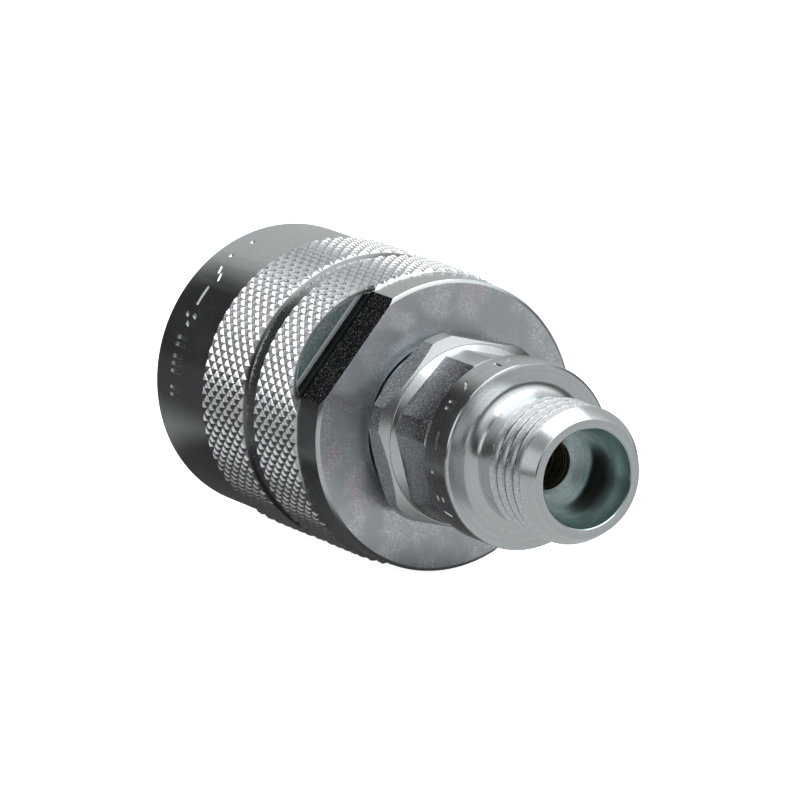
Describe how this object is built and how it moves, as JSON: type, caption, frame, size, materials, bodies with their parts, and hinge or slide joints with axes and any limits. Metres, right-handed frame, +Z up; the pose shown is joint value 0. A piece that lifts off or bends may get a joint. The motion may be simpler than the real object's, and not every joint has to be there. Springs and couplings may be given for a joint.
{
  "type": "quick disconnect coupler",
  "caption": "Screw-to-connect hydraulic quick coupler half: knurled union sleeve that turns on a hexagonal valve body, with a 24 degree cone stud and a sprung poppet.",
  "frame": {"origin": "on the coupler's axis, at the middle of the stud's thread", "axes": "+X along the axis out of the stud's free end, -X out of the open mating end, +Z up"},
  "size_m": [0.0602, 0.0308, 0.0308],
  "materials": {
    "zinc_steel": "bright zinc plated, turned and milled",
    "plain_steel": "ground steel",
    "spring_steel": "dark drawn wire",
    "brass": "turned",
    "seal_rubber": "matt nitrile",
    "white_plastic": "fluoropolymer"
  },
  "bodies": {
    "coupler_body": {"stud_adapter": "zinc_steel", "valve_body": "zinc_steel", "seat_ring": "plain_steel", "nose_seal": "seal_rubber", "nose_backup_ring": "white_plastic", "joint_seal": "seal_rubber", "joint_backup_ring": "white_plastic", "spring_guide": "brass", "guide_bush": "white_plastic", "guide_circlip": "spring_steel", "spring_shim": "plain_steel", "retaining_ring": "spring_steel", "thrust_washer": "plain_steel", "poppet_spring": "spring_steel"},
    "sleeve_carrier": {"slide_ring": "white_plastic"},
    "union_sleeve": {"coupling_sleeve": "zinc_steel", "front_wiper_ring": "seal_rubber", "sleeve_dust_ring": "seal_rubber"},
    "poppet": {"poppet_stem": "plain_steel", "poppet_seal": "seal_rubber", "poppet_tip": "plain_steel"}
  },
  "joints": [
    {"name": "sleeve_play", "type": "slide", "parent": "coupler_body", "child": "sleeve_carrier", "axis": [1, 0, 0], "range_m": [0, 0.0012]},
    {"name": "sleeve_spin", "type": "hinge", "parent": "sleeve_carrier", "child": "union_sleeve", "pos_m": [-0.0228, 0, 0], "axis": [1, 0, 0], "continuous": true},
    {"name": "poppet_open", "type": "slide", "parent": "coupler_body", "child": "poppet", "axis": [1, 0, 0], "range_m": [0, 0.003], "stiffness_N_per_m": 800, "springref_m": -0.012, "deforming": ["poppet_spring"]}
  ]
}
